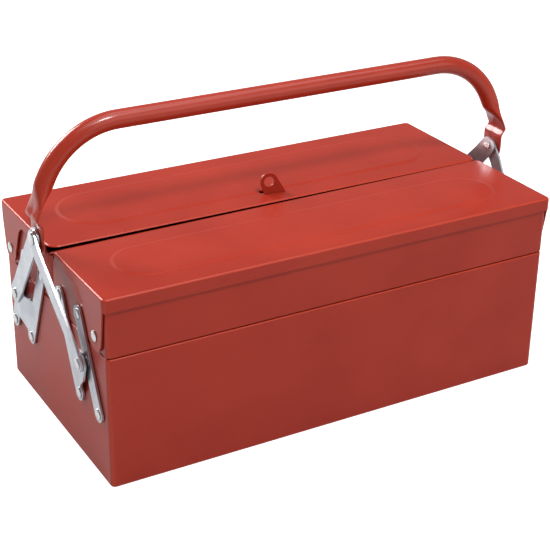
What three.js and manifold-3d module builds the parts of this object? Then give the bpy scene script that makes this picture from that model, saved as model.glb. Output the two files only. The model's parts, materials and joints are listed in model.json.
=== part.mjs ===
// A sheet-steel toolbox with a deep base, two cantilever trays with hinged lids, and a carrying
// handle whose rods and cranks draw both trays shut when it is lifted.
// Millimetres, +X along the length, the front faces -Y, +Z up, the underside at z = 0.
import * as THREE from 'three';
import { mergeVertices } from 'three/addons/utils/BufferGeometryUtils.js';
import Module from 'manifold-3d';

const wasm = await Module();
wasm.setup();

// ---------------------------------------------------------------- driving dimensions
const LENGTH = 400;               // base and trays, outside, along X
const DEPTH = 208;                // base, outside, along Y
const BASE_HEIGHT = 110;
const TRAY_HEIGHT = 41.5;
const SHEET = 1.2;                // steel sheet of the box, trays and lids
const CORNER_RADIUS = 4;          // folded vertical corners
const HEM_WIDTH = 2.6;            // turned-in edge of the base and the trays
const HEM_HEIGHT = 5;
const TRAY_SEAT_GAP = 0.5;        // tray floor above the base rim
const TRAY_MIDDLE_GAP = 0.8;      // between the two closed trays

const LID_SIDE_GAP = 0.9;         // lid end flap off the tray's end wall
const LID_FRONT_GAP = 0.4;        // lid skirt off the tray's long wall
const LID_RIM_GAP = 0.5;          // front lid's tongue above the tray rim
const SKIRT_DEPTH = 11;           // along the long side
const END_SKIRT_DEPTH = 8.5;      // along the ends
const TONGUE_DROP = 6.2;          // front lid's rear edge, set down below its top
const TONGUE_SLOPE = 6;           // run of the step that sets it down
const TONGUE_OVERLAP = 1.4;       // how far the rear lid reaches over the tongue
const LID_SEAM_Y = -4;            // free edge of the rear lid
const REAR_LID_CORNER = 9;        // rounded free corners of the rear lid
const EMBOSS_HEIGHT = 1;          // raised panel on each lid
const EMBOSS_MARGIN_LONG = 19.5;  // from the lid's edges to the panel, along Y
const EMBOSS_MARGIN_END = 28;     // the same along X

const LID_PIVOT_INSET = 17;       // lid pivots, in from the long wall ...
const LID_PIVOT_RISE = 13;        // ... and above the tray's floor
const EAR_RADIUS = 11.8;
const EAR_REACH_INNER = 25;       // from the lid's pivot to where the ear meets the end skirt
const EAR_REACH_OUTER = 15.8;     // the same, towards the long side
const EAR_FILLET = 9;

const BASE_PIVOT_DROP = 52.5;     // base pivots below the base's rim
const TRAY_PIVOT_RISE = 16.5;     // tray pivots above the tray's floor
const TRAY_PIVOT_INSET = 19;      // inner tray pivots off the middle of the box
const LINK_TO_EAR = 12.9;         // outer link clear of the lid's ear
const LINK_RUN = 32;              // a closed link leans this far inwards
const CRANK_EAR_OUT = 15.5;       // the crank's ear, outwards and up from its base pivot
const CRANK_EAR_RISE = 34.5;
const APEX_RISE = 8.6;            // where both rods meet the handle, above the lids
const LINK_THICKNESS = 1.8;
const LINK_HALF_WIDTH = 6.8;
const CRANK_EAR_RADIUS = 8;
const ROD_HALF_WIDTH = { front: 6.8, rear: 8.4 };
const LINK_OFF_WALL = 0.5;        // first layer, off the end walls
const CRANK_OVER_LINK = 2.3;      // the crank's ear is bent out to pass over the outer link
const CRANK_BEND_RUN = 7;
const ROD_JOGGLE = { start: 14, end: 88 };   // distance from the apex

const HANDLE_TUBE = 15;           // diameter
const HANDLE_RISE = 83.5;         // apex to the middle of the grip
const HANDLE_BEND = 66;           // bend radius on the tube's middle line
const HANDLE_LEG_SLOPE = 25;      // degrees the legs splay from upright
const HANDLE_KINK_RISE = 18;      // apex to the fold between leg and strap
const STRAP_OFF_WALL = 15;        // middle of a strap off the end wall, before the shift
const KINK_OUTSIDE_STRAP = 4;
const HANDLE_SHIFT = 6;           // the left strap runs inside the rods, the right one outside
const STRAP_WIDTH = 23.5;
const STRAP_THICKNESS = 2.5;
const FLATTEN_RISE = 24;          // above the kink, where the round leg begins to turn flat ...
const FLATTEN_RUN = 19;           // ... and over what height it does
const STRAP_BEND_RUN = 7;         // height of the bend from the splayed leg to the upright strap

const RIVET_SHANK = 4;            // diameter
const RIVET_HEAD = 9;
const RIVET_DOME = 1.2;
const RIVET_TAIL = 8;
const OPEN_PIVOT_PLAY = 2.4;      // the rear rods' slack hole at the apex
const APEX_HEAD_COVER = 1.1;      // the apex rivet's head beyond that hole
const GAP = 0.3;                  // running clearance between touching pieces

// The hasp eye: a ring on a foot that widens to the right, with a slot in the lid beside it.
const HASP = { x: -1.4, behindSeam: 17.5, thickness: 2, bore: 9, ring: 7.6, rise: 10.4, turn: -8 };
const HASP_FOOT = { left: -4, right: 15 };
const HASP_SLOT = { left: -8, right: 1, near: 3.4, far: 7 };

const ROUND = 12;                 // facets of rivets and bores
const HANDLE_FACETS = 12;
const HANDLE_STEPS = 84;
const BEND_STEPS = 7;

// ---------------------------------------------------------------- sizes that follow
const HALF_LENGTH = LENGTH / 2;
const HALF_DEPTH = DEPTH / 2;
const TRAY_FLOOR = BASE_HEIGHT + TRAY_SEAT_GAP;
const TRAY_RIM = TRAY_FLOOR + TRAY_HEIGHT;
const TONGUE_UNDER = TRAY_RIM + LID_RIM_GAP;
const LID_TOP = TONGUE_UNDER + SHEET + TONGUE_DROP;
const LID_UNDER = LID_TOP - SHEET;
const LID_HALF_LENGTH = HALF_LENGTH + LID_SIDE_GAP + SHEET;
const LID_OUTER_Y = HALF_DEPTH + LID_FRONT_GAP + SHEET;
const LID_PIVOT = { y: HALF_DEPTH - LID_PIVOT_INSET, z: TRAY_FLOOR + LID_PIVOT_RISE };

const BASE_PIVOT_Z = BASE_HEIGHT - BASE_PIVOT_DROP;
const TRAY_PIVOT_Z = TRAY_FLOOR + TRAY_PIVOT_RISE;
const OUTER_TRAY_PIVOT_Y = LID_PIVOT.y - EAR_RADIUS - LINK_TO_EAR - LINK_HALF_WIDTH;
const INNER_PIVOT_Y = TRAY_PIVOT_INSET + LINK_RUN;
const OUTER_PIVOT_Y = OUTER_TRAY_PIVOT_Y + LINK_RUN;
const CRANK_EAR = { y: INNER_PIVOT_Y + CRANK_EAR_OUT, z: BASE_PIVOT_Z + CRANK_EAR_RISE };
const APEX = { y: 0, z: LID_TOP + APEX_RISE };
const APEX_HEAD = RIVET_SHANK + 2 * (OPEN_PIVOT_PLAY + APEX_HEAD_COVER);
const EAR_OFF_WALL = LINK_OFF_WALL + LINK_THICKNESS + CRANK_OVER_LINK;
const ROD_OFF_WALL = EAR_OFF_WALL + LINK_THICKNESS + GAP;

const STRAP_HALF_SPAN = HALF_LENGTH + STRAP_OFF_WALL;
const KINK_HALF_SPAN = STRAP_HALF_SPAN + KINK_OUTSIDE_STRAP;
const LEG_SLOPE = THREE.MathUtils.degToRad(HANDLE_LEG_SLOPE);
const GRIP_Z = APEX.z + HANDLE_RISE;
const KINK_Z = APEX.z + HANDLE_KINK_RISE;

const PAINT = { color: 0xa8342a, roughness: 0.3, metalness: 0.1 };
const ZINC = { color: 0xb9c0c6, roughness: 0.35, metalness: 0.9 };
const BRIGHT = { color: 0xd2d2d0, roughness: 0.25, metalness: 1.0 };

const ENDS = [
  { name: 'left', side: -1, handleShift: -HANDLE_SHIFT },
  { name: 'right', side: 1, handleShift: HANDLE_SHIFT },
];
const ROWS = [
  { name: 'front', facing: -1 },
  { name: 'rear', facing: 1 },
];

// ---------------------------------------------------------------- helpers
function solid(geometry) {
  const bare = geometry.clone();
  bare.deleteAttribute('normal');
  bare.deleteAttribute('uv');
  const merged = mergeVertices(bare, 1e-4);
  return new wasm.Manifold(new wasm.Mesh({
    numProp: 3,
    vertProperties: new Float32Array(merged.attributes.position.array),
    triVerts: new Uint32Array(merged.index.array),
  }));
}

function geometryOf(body) {
  const mesh = body.getMesh();
  const geometry = new THREE.BufferGeometry();
  geometry.setAttribute('position', new THREE.BufferAttribute(mesh.vertProperties, 3));
  geometry.setIndex(new THREE.BufferAttribute(mesh.triVerts, 1));
  geometry.computeVertexNormals();
  return geometry;
}

function mapPoints(body, move) {
  const mesh = body.getMesh();
  const points = new Float32Array(mesh.vertProperties);
  for (let i = 0; i < points.length; i += 3) {
    const moved = move(points[i], points[i + 1], points[i + 2]);
    points.set(moved, i);
  }
  return new wasm.Manifold(new wasm.Mesh({
    numProp: 3, vertProperties: points, triVerts: mesh.triVerts,
  }));
}

function box(x0, x1, y0, y1, z0, z1) {
  const geometry = new THREE.BoxGeometry(x1 - x0, y1 - y0, z1 - z0);
  geometry.translate((x0 + x1) / 2, (y0 + y1) / 2, (z0 + z1) / 2);
  return solid(geometry);
}

function roundedRect(x0, x1, y0, y1, radius) {
  const shape = new THREE.Shape();
  shape.moveTo(x0 + radius, y0);
  shape.absarc(x1 - radius, y0 + radius, radius, -Math.PI / 2, 0);
  shape.absarc(x1 - radius, y1 - radius, radius, 0, Math.PI / 2);
  shape.absarc(x0 + radius, y1 - radius, radius, Math.PI / 2, Math.PI);
  shape.absarc(x0 + radius, y0 + radius, radius, Math.PI, Math.PI * 1.5);
  return shape;
}

// A plan outline raised from z0 to z1.
function raised(shape, z0, z1, curveSegments = 3) {
  const geometry = new THREE.ExtrudeGeometry(shape, { depth: z1 - z0, bevelEnabled: false, curveSegments });
  geometry.translate(0, 0, z0);
  return solid(geometry);
}

// An outline drawn in Y and Z, given thickness from x0 to x1.
const ALONG_X = new THREE.Matrix4().makeBasis(
  new THREE.Vector3(0, 1, 0), new THREE.Vector3(0, 0, 1), new THREE.Vector3(1, 0, 0));

function plate(shape, x0, x1, curveSegments = 6) {
  const geometry = new THREE.ExtrudeGeometry(shape, { depth: x1 - x0, bevelEnabled: false, curveSegments });
  geometry.applyMatrix4(ALONG_X);
  geometry.translate(x0, 0, 0);
  return solid(geometry);
}

function disc(y, z, radius, x0, x1, facets = ROUND) {
  const geometry = new THREE.CylinderGeometry(radius, radius, x1 - x0, facets);
  geometry.rotateZ(Math.PI / 2);
  geometry.translate((x0 + x1) / 2, y, z);
  return solid(geometry);
}

// A strap with round ends between two points of the YZ plane.
function strapShape(from, to, radius) {
  const angle = Math.atan2(to.z - from.z, to.y - from.y);
  const shape = new THREE.Shape();
  shape.absarc(to.y, to.z, radius, angle - Math.PI / 2, angle + Math.PI / 2);
  shape.absarc(from.y, from.z, radius, angle + Math.PI / 2, angle + Math.PI * 1.5);
  return shape;
}

function bore(body, y, z, diameter, x0, x1) {
  return body.subtract(disc(y, z, diameter / 2, x0, x1));
}

// An outline of the YZ plane cut from a sheet that is cranked along X: it lies `near` off the
// end wall up to `start` and `far` off it after `end`, both distances measured from `origin`
// in `direction`.
function bentPlate(shape, side, { origin, direction, start, end, near, far }) {
  const reach = LENGTH;
  const size = Math.hypot(direction.y, direction.z);
  const along = new THREE.Vector3(0, direction.y / size, direction.z / size);
  const across = new THREE.Vector3().crossVectors(along, new THREE.Vector3(1, 0, 0));
  const x = (offset) => side * (HALF_LENGTH + offset);
  const profile = new THREE.Shape();
  profile.moveTo(-reach, x(near));
  profile.lineTo(start, x(near));
  profile.lineTo(end, x(far));
  profile.lineTo(reach, x(far));
  profile.lineTo(reach, x(far + LINK_THICKNESS));
  profile.lineTo(end, x(far + LINK_THICKNESS));
  profile.lineTo(start, x(near + LINK_THICKNESS));
  profile.lineTo(-reach, x(near + LINK_THICKNESS));
  const sheet = new THREE.ExtrudeGeometry(profile, { depth: 2 * reach, bevelEnabled: false });
  sheet.translate(0, 0, -reach);
  sheet.applyMatrix4(new THREE.Matrix4().makeBasis(along, new THREE.Vector3(1, 0, 0), across));
  sheet.translate(0, origin.y, origin.z);
  const [x0, x1] = [x(0), x(Math.max(near, far) + 2 * LINK_THICKNESS)].sort((p, q) => p - q);
  return shape.intersect(solid(sheet)).intersect(box(x0, x1, -reach, reach, 0, reach));
}

const toolbox = new THREE.Group();
toolbox.name = 'toolbox';

function addPiece(name, body, finish) {
  const mesh = new THREE.Mesh(geometryOf(body), new THREE.MeshStandardMaterial(finish));
  mesh.name = name;
  toolbox.add(mesh);
}

// ---------------------------------------------------------------- pivots
function linkPivots(facing) {
  const inner = { y: facing * INNER_PIVOT_Y, z: BASE_PIVOT_Z };
  const outer = { y: facing * OUTER_PIVOT_Y, z: BASE_PIVOT_Z };
  const swing = (pivot) => ({ y: pivot.y - facing * LINK_RUN, z: TRAY_PIVOT_Z });
  return {
    inner, outer,
    innerTray: swing(inner),
    outerTray: swing(outer),
    lid: { y: facing * LID_PIVOT.y, z: LID_PIVOT.z },
    ear: { y: facing * CRANK_EAR.y, z: CRANK_EAR.z },
  };
}

// Bores through both end walls.
function boreEnds(body, pivots) {
  let drilled = body;
  for (const pivot of pivots) {
    for (const { side } of ENDS) {
      const wall = [side * (HALF_LENGTH - 2 * SHEET), side * (HALF_LENGTH + SHEET)].sort((a, b) => a - b);
      drilled = bore(drilled, pivot.y, pivot.z, RIVET_SHANK + 2 * GAP, wall[0], wall[1]);
    }
  }
  return drilled;
}

// ---------------------------------------------------------------- base and trays
function openBox(x, y0, y1, floor, rim) {
  const inset = (by) => roundedRect(-x + by, x - by, y0 + by, y1 - by, Math.max(CORNER_RADIUS - by, 0.8));
  const shell = raised(inset(0), floor, rim).subtract(raised(inset(SHEET), floor + SHEET, rim + 1));
  const hem = raised(inset(0), rim - HEM_HEIGHT, rim)
    .subtract(raised(inset(HEM_WIDTH), rim - HEM_HEIGHT - 1, rim + 1));
  return shell.add(hem);
}

function makeBase() {
  const pivots = ROWS.flatMap(({ facing }) => [linkPivots(facing).inner, linkPivots(facing).outer]);
  return boreEnds(openBox(HALF_LENGTH, -HALF_DEPTH, HALF_DEPTH, 0, BASE_HEIGHT), pivots);
}

function makeTray(facing) {
  const edges = [facing * TRAY_MIDDLE_GAP / 2, facing * HALF_DEPTH].sort((a, b) => a - b);
  const tray = openBox(HALF_LENGTH, edges[0], edges[1], TRAY_FLOOR, TRAY_RIM);
  const { innerTray, outerTray, lid } = linkPivots(facing);
  return boreEnds(tray, [innerTray, outerTray, lid]);
}

// ---------------------------------------------------------------- lids
// What a lid keeps of its folded shell, seen from the end: the top, a shallow skirt, and an
// ear at each end that reaches down to the lid's pivot.
function lidProfile(facing, freeEdge, flapEnd) {
  const above = LID_TOP + 1;
  const under = LID_TOP - END_SKIRT_DEPTH;
  const beyond = LID_OUTER_Y + 1;
  const earInner = LID_PIVOT.y - EAR_REACH_INNER;
  const shape = new THREE.Shape();
  const point = (y, z) => [facing * y, z];
  shape.moveTo(...point(facing * freeEdge - 1, above));
  shape.lineTo(...point(facing * freeEdge - 1, LID_UNDER));
  shape.lineTo(...point(flapEnd, LID_UNDER));
  shape.lineTo(...point(flapEnd, under));
  shape.lineTo(...point(earInner - EAR_FILLET, under));
  shape.quadraticCurveTo(...point(earInner, under), ...point(earInner + 4, under - EAR_FILLET));
  shape.lineTo(...point(LID_PIVOT.y - EAR_RADIUS, LID_PIVOT.z + 2));
  const from = facing > 0 ? Math.PI : 0;
  shape.absarc(facing * LID_PIVOT.y, LID_PIVOT.z, EAR_RADIUS, from, from + facing * Math.PI, facing < 0);
  shape.lineTo(...point(LID_PIVOT.y + EAR_REACH_OUTER, LID_TOP - SKIRT_DEPTH));
  shape.lineTo(...point(beyond, LID_TOP - SKIRT_DEPTH));
  shape.lineTo(...point(beyond, above));
  return shape;
}

function makeLid(facing) {
  const isRear = facing > 0;
  const freeEdge = isRear ? LID_SEAM_Y : LID_SEAM_Y - GAP - TONGUE_SLOPE;
  const flapEnd = isRear ? LID_SEAM_Y + REAR_LID_CORNER : -freeEdge + 1;
  const x = LID_HALF_LENGTH;
  const lowest = LID_PIVOT.z - EAR_RADIUS - 1;
  const outline = (by, corner, reach) => {
    const fold = Math.max(CORNER_RADIUS - by, 0.8);
    const [side, outer, free] = [x - by, facing * (LID_OUTER_Y - by), freeEdge - facing * reach];
    const shape = new THREE.Shape();
    shape.moveTo(-side, outer - facing * fold);
    shape.quadraticCurveTo(-side, outer, -side + fold, outer);
    shape.lineTo(side - fold, outer);
    shape.quadraticCurveTo(side, outer, side, outer - facing * fold);
    shape.lineTo(side, free + facing * corner);
    shape.quadraticCurveTo(side, free, side - corner, free);
    shape.lineTo(-side + corner, free);
    shape.quadraticCurveTo(-side, free, -side, free + facing * corner);
    return shape;
  };
  const shell = raised(outline(0, isRear ? REAR_LID_CORNER : 1, 0), lowest, LID_TOP)
    .subtract(raised(outline(SHEET, 1, 5), lowest - 1, LID_UNDER));
  let lid = shell.intersect(plate(lidProfile(facing, freeEdge, flapEnd), -x - 1, x + 1));
  lid = bore(lid, facing * LID_PIVOT.y, LID_PIVOT.z, RIVET_SHANK + 2 * GAP, -x - 1, x + 1);

  const edges = [freeEdge, facing * LID_OUTER_Y].sort((a, b) => a - b);
  const panelEdges = [edges[0] + EMBOSS_MARGIN_LONG, edges[1] - EMBOSS_MARGIN_LONG];
  const panelRadius = (panelEdges[1] - panelEdges[0]) / 2 - 0.5;
  const panel = (by) => roundedRect(-x + EMBOSS_MARGIN_END + by, x - EMBOSS_MARGIN_END - by,
    panelEdges[0] + by, panelEdges[1] - by, panelRadius - by);
  lid = lid.add(raised(panel(0), LID_UNDER, LID_TOP + EMBOSS_HEIGHT, 8));
  lid = lid.subtract(raised(panel(SHEET), LID_UNDER - 1, LID_UNDER + EMBOSS_HEIGHT, 8));
  return isRear ? lid.subtract(haspSlot()) : lid.add(tongue(freeEdge));
}

// The front lid's rear edge, set down so that the rear lid closes over it.
function tongue(freeEdge) {
  const tip = LID_SEAM_Y + TONGUE_OVERLAP;
  const low = LID_TOP - TONGUE_DROP;
  const foot = freeEdge + TONGUE_SLOPE;
  const shape = new THREE.Shape();
  const root = SHEET / 6;
  shape.moveTo(freeEdge - 1, LID_TOP - root);
  shape.lineTo(freeEdge + root, LID_TOP - root);
  shape.lineTo(foot, low);
  shape.lineTo(tip, low);
  shape.lineTo(tip, low - SHEET);
  shape.lineTo(foot - SHEET, low - SHEET);
  shape.lineTo(freeEdge - 1, LID_UNDER + root);
  const reach = HALF_LENGTH - 2;
  return plate(shape, -reach, reach);
}

// From the hasp's own frame, X along its foot, to the lid.
function onLid(geometry) {
  geometry.rotateZ(THREE.MathUtils.degToRad(HASP.turn));
  geometry.translate(HASP.x, LID_SEAM_Y + HASP.behindSeam, LID_TOP);
  return solid(geometry);
}

function makeHasp() {
  const shape = new THREE.Shape();
  shape.moveTo(HASP_FOOT.left, 0);
  shape.lineTo(HASP_FOOT.right, 0);
  shape.absarc(0, HASP.rise, HASP.ring, Math.PI / 6, Math.PI * 1.2);
  const geometry = new THREE.ExtrudeGeometry(shape, {
    depth: HASP.thickness, bevelEnabled: false, curveSegments: 14,
  });
  const hole = new THREE.CylinderGeometry(HASP.bore / 2, HASP.bore / 2, 4 * HASP.thickness, 2 * ROUND);
  hole.rotateX(Math.PI / 2);
  hole.translate(0, HASP.rise, HASP.thickness / 2);
  const eye = geometryOf(solid(geometry).subtract(solid(hole)));
  eye.rotateX(Math.PI / 2);
  eye.translate(0, 0, GAP);
  return onLid(eye);
}

function haspSlot() {
  const { left, right, near, far } = HASP_SLOT;
  const slot = new THREE.BoxGeometry(right - left, far - near, 4 * SHEET);
  slot.translate((left + right) / 2, (near + far) / 2, 0);
  return onLid(slot);
}

// ---------------------------------------------------------------- links, cranks and rods
// Layer x0..x1 off an end wall, as a pair of X values on that end.
function layer(side, offset, thickness) {
  const near = side * (HALF_LENGTH + offset);
  const far = side * (HALF_LENGTH + offset + thickness);
  return side > 0 ? [near, far] : [far, near];
}

function makeOuterLink(side, facing) {
  const { outer, outerTray } = linkPivots(facing);
  const [x0, x1] = layer(side, LINK_OFF_WALL, LINK_THICKNESS);
  let link = plate(strapShape(outer, outerTray, LINK_HALF_WIDTH), x0, x1);
  for (const pivot of [outer, outerTray]) {
    link = bore(link, pivot.y, pivot.z, RIVET_SHANK + 2 * GAP, x0 - 1, x1 + 1);
  }
  return link;
}

// The inner link and its ear, one bent plate: the rod pulls on the ear.
function makeCrank(side, facing) {
  const { inner, innerTray, ear } = linkPivots(facing);
  const [x0, x1] = layer(side, 0, EAR_OFF_WALL + 2 * LINK_THICKNESS);
  const web = new THREE.Shape();
  web.moveTo(inner.y + facing * LINK_HALF_WIDTH * 0.9, inner.z - 2);
  web.quadraticCurveTo(inner.y + facing * 11, inner.z + 13, ear.y + facing * 4, ear.z - 14);
  web.lineTo(ear.y + facing * CRANK_EAR_RADIUS, ear.z);
  web.lineTo(ear.y - facing * 4, ear.z + CRANK_EAR_RADIUS * 0.85);
  web.quadraticCurveTo(ear.y - facing * 14, ear.z - 6, inner.y - facing * 12, inner.z + 38);
  web.lineTo(inner.y, inner.z + 8);
  const outline = plate(web, x0, x1)
    .add(disc(ear.y, ear.z, CRANK_EAR_RADIUS, x0, x1, 2 * ROUND))
    .add(plate(strapShape(inner, innerTray, LINK_HALF_WIDTH), x0, x1));
  let crank = bentPlate(outline, side, {
    origin: ear,
    direction: { y: -facing, z: -0.25 },
    start: CRANK_EAR_RADIUS,
    end: CRANK_EAR_RADIUS + CRANK_BEND_RUN,
    near: EAR_OFF_WALL,
    far: LINK_OFF_WALL,
  });
  for (const pivot of [inner, innerTray, ear]) {
    crank = bore(crank, pivot.y, pivot.z, RIVET_SHANK + 2 * GAP, x0 - 1, x1 + 1);
  }
  return crank;
}

// Where the pieces meet at the apex, from the end wall outwards.
function apexLayers({ side, handleShift }) {
  const strapMiddle = STRAP_OFF_WALL + handleShift;
  const strap = [strapMiddle - STRAP_THICKNESS / 2, strapMiddle + STRAP_THICKNESS / 2];
  if (side < 0) {
    const rear = strap[1] + GAP;
    const front = rear + LINK_THICKNESS + GAP;
    return { strap, rear, front, inside: strap[0], outside: front + LINK_THICKNESS };
  }
  const front = strap[0] - GAP - LINK_THICKNESS;
  const rear = front - GAP - LINK_THICKNESS;
  return { strap, rear, front, inside: rear, outside: strap[1] };
}

// The rod from a crank's ear up to the apex, cranked outwards to reach the handle's strap.
function makeRod(end, row) {
  const { side } = end;
  const { ear } = linkPivots(row.facing);
  const apexOffset = apexLayers(end)[row.name];
  const [x0, x1] = layer(side, 0, apexOffset + 2 * LINK_THICKNESS);
  let rod = bentPlate(plate(strapShape(ear, APEX, ROD_HALF_WIDTH[row.name]), x0, x1), side, {
    origin: APEX,
    direction: { y: ear.y, z: ear.z - APEX.z },
    start: ROD_JOGGLE.start,
    end: ROD_JOGGLE.end,
    near: apexOffset,
    far: ROD_OFF_WALL,
  });
  const play = row.name === 'rear' ? OPEN_PIVOT_PLAY : GAP;
  rod = bore(rod, APEX.y, APEX.z, RIVET_SHANK + 2 * play, x0 - 1, x1 + 1);
  return bore(rod, ear.y, ear.z, RIVET_SHANK + 2 * GAP, x0 - 1, x1 + 1);
}

// ---------------------------------------------------------------- rivets
// Offsets are measured outwards from the end wall: the gripped stack runs from `inner` to `outer`.
function makeRivet(side, pivot, inner, outer, headDiameter = RIVET_HEAD) {
  const shank = RIVET_SHANK / 2;
  const head = headDiameter / 2;
  const tail = RIVET_TAIL / 2;
  const profile = [
    [0, inner - GAP - 1], [tail, inner - GAP - 1], [tail, inner - GAP],
    [shank, inner - GAP], [shank, outer + GAP], [head, outer + GAP], [head * 0.92, outer + GAP + 0.5],
    [head * 0.55, outer + GAP + RIVET_DOME], [0, outer + GAP + RIVET_DOME],
  ].map(([r, h]) => new THREE.Vector2(r, h));
  const geometry = new THREE.LatheGeometry(profile, ROUND);
  geometry.rotateZ(-side * Math.PI / 2);
  geometry.translate(side * HALF_LENGTH, pivot.y, pivot.z);
  return solid(geometry);
}

// ---------------------------------------------------------------- handle
// Half of the pipe's middle line, from the strap's lower end up to the grip.
function halfHandleLine() {
  const point = (x, z) => new THREE.Vector3(x, 0, z);
  const cornerX = KINK_HALF_SPAN - (GRIP_Z - KINK_Z) * Math.tan(LEG_SLOPE);
  const tangent = HANDLE_BEND * Math.tan((Math.PI / 2 - LEG_SLOPE) / 2);
  const centre = { x: cornerX - tangent, z: GRIP_Z - HANDLE_BEND };
  const line = [
    point(STRAP_HALF_SPAN, APEX.z - STRAP_WIDTH / 2 - 2),
    point(STRAP_HALF_SPAN, KINK_Z - STRAP_BEND_RUN),
    point(KINK_HALF_SPAN, KINK_Z),
  ];
  for (let i = 0; i <= BEND_STEPS; i += 1) {
    const angle = LEG_SLOPE + (Math.PI / 2 - LEG_SLOPE) * (i / BEND_STEPS);
    line.push(point(centre.x + HANDLE_BEND * Math.cos(angle), centre.z + HANDLE_BEND * Math.sin(angle)));
  }
  return line;
}

// X of the leg's middle line at a height below the bend.
function legMiddle(z) {
  if (z >= KINK_Z) {
    return KINK_HALF_SPAN - (z - KINK_Z) * Math.tan(LEG_SLOPE);
  }
  const share = Math.min(1, (KINK_Z - z) / STRAP_BEND_RUN);
  return KINK_HALF_SPAN + share * (STRAP_HALF_SPAN - KINK_HALF_SPAN);
}

// The bent pipe, its ends pressed flat, rounded and bored for the apex rivets.
function makeHandle() {
  const half = halfHandleLine();
  const mirrored = half.map(({ x, z }) => new THREE.Vector3(-x, 0, z));
  const line = [...mirrored, ...half.reverse()];
  const path = new THREE.CurvePath();
  for (let i = 0; i + 1 < line.length; i += 1) {
    path.add(new THREE.LineCurve3(line[i], line[i + 1]));
  }
  const radius = HANDLE_TUBE / 2;
  const section = new THREE.Shape();
  for (let i = 0; i < HANDLE_FACETS; i += 1) {
    const angle = (i + 0.5) * 2 * Math.PI / HANDLE_FACETS;
    section[i ? 'lineTo' : 'moveTo'](radius * Math.cos(angle), radius * Math.sin(angle));
  }
  const pipe = new THREE.ExtrudeGeometry(section, { steps: HANDLE_STEPS, extrudePath: path });
  let handle = mapPoints(solid(pipe), (x, y, z) => {
    const press = THREE.MathUtils.smoothstep(KINK_Z + FLATTEN_RISE - z, 0, FLATTEN_RUN);
    const middle = Math.sign(x) * legMiddle(z);
    const flat = Math.sign(x - middle) * STRAP_THICKNESS / 2;
    const across = THREE.MathUtils.lerp(1, STRAP_WIDTH / HANDLE_TUBE, press);
    return press > 0 ? [THREE.MathUtils.lerp(x, middle + flat, press), y * across, z] : [x, y, z];
  });
  const reach = KINK_HALF_SPAN + HANDLE_TUBE;
  const corners = box(-reach, reach, -STRAP_WIDTH, STRAP_WIDTH, APEX.z - STRAP_WIDTH, APEX.z)
    .subtract(disc(0, APEX.z, STRAP_WIDTH / 2, -reach - 1, reach + 1, 2 * ROUND));
  handle = handle.subtract(corners);
  handle = bore(handle, 0, APEX.z, RIVET_SHANK + 2 * GAP, -reach, reach);
  return mapPoints(handle, (x, y, z) => [x + HANDLE_SHIFT, y, z]);
}

// ---------------------------------------------------------------- the toolbox
addPiece('base_box', makeBase(), PAINT);
for (const row of ROWS) {
  addPiece(`${row.name}_tray`, makeTray(row.facing), PAINT);
  addPiece(`${row.name}_lid`, makeLid(row.facing), PAINT);
}
addPiece('hasp_eye', makeHasp(), PAINT);
addPiece('handle', makeHandle(), PAINT);

const WALL_INSIDE = -SHEET;
const LINK_OUTSIDE = LINK_OFF_WALL + LINK_THICKNESS;
for (const end of ENDS) {
  const { side } = end;
  for (const row of ROWS) {
    const tag = `${row.name}_${end.name}`;
    const pivots = linkPivots(row.facing);
    addPiece(`outer_link_${tag}`, makeOuterLink(side, row.facing), ZINC);
    addPiece(`crank_${tag}`, makeCrank(side, row.facing), ZINC);
    addPiece(`handle_rod_${tag}`, makeRod(end, row), ZINC);
    const linkRivets = {
      base_outer: pivots.outer,
      base_inner: pivots.inner,
      tray_outer: pivots.outerTray,
      tray_inner: pivots.innerTray,
    };
    for (const [place, pivot] of Object.entries(linkRivets)) {
      addPiece(`rivet_${place}_${tag}`, makeRivet(side, pivot, WALL_INSIDE, LINK_OUTSIDE), BRIGHT);
    }
    addPiece(`rivet_lid_${tag}`, makeRivet(side, pivots.lid, WALL_INSIDE, LID_SIDE_GAP + SHEET), PAINT);
    addPiece(`rivet_crank_${tag}`,
      makeRivet(side, pivots.ear, EAR_OFF_WALL, ROD_OFF_WALL + LINK_THICKNESS), BRIGHT);
  }
  const { inside, outside } = apexLayers(end);
  addPiece(`rivet_apex_${end.name}`, makeRivet(side, APEX, inside, outside, APEX_HEAD), BRIGHT);
}

// The frame's origin is under the middle of the whole object.
const extent = new THREE.Box3().setFromObject(toolbox);
toolbox.position.x = -(extent.min.x + extent.max.x) / 2;

export default toolbox;
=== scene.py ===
"""Looks of a sheet-steel cantilever toolbox: painted shells, zinc links, rivets, tube handle."""

import json
import logging
import math
from collections.abc import Callable, Iterable
from dataclasses import dataclass, field
from enum import Enum

import bmesh
import bpy
from mathutils import Matrix, Quaternion, Vector


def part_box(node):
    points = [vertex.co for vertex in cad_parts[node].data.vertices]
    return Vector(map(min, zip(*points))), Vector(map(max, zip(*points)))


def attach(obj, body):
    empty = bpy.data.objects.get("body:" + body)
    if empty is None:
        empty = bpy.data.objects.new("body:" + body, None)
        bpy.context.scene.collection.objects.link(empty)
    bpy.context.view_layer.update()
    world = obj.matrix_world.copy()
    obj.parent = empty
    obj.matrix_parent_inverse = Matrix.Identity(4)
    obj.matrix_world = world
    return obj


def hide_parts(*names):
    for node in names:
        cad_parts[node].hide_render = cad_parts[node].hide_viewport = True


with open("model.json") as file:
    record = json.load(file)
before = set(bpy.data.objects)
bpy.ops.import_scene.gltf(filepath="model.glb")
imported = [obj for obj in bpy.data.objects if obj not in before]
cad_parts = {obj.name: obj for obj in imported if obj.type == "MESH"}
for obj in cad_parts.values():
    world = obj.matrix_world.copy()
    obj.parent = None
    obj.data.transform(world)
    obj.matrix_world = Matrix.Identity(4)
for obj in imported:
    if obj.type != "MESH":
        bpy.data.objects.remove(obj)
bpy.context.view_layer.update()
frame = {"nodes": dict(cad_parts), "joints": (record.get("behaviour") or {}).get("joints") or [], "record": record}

log = logging.getLogger("toolbox")
MM = 0.001
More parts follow.
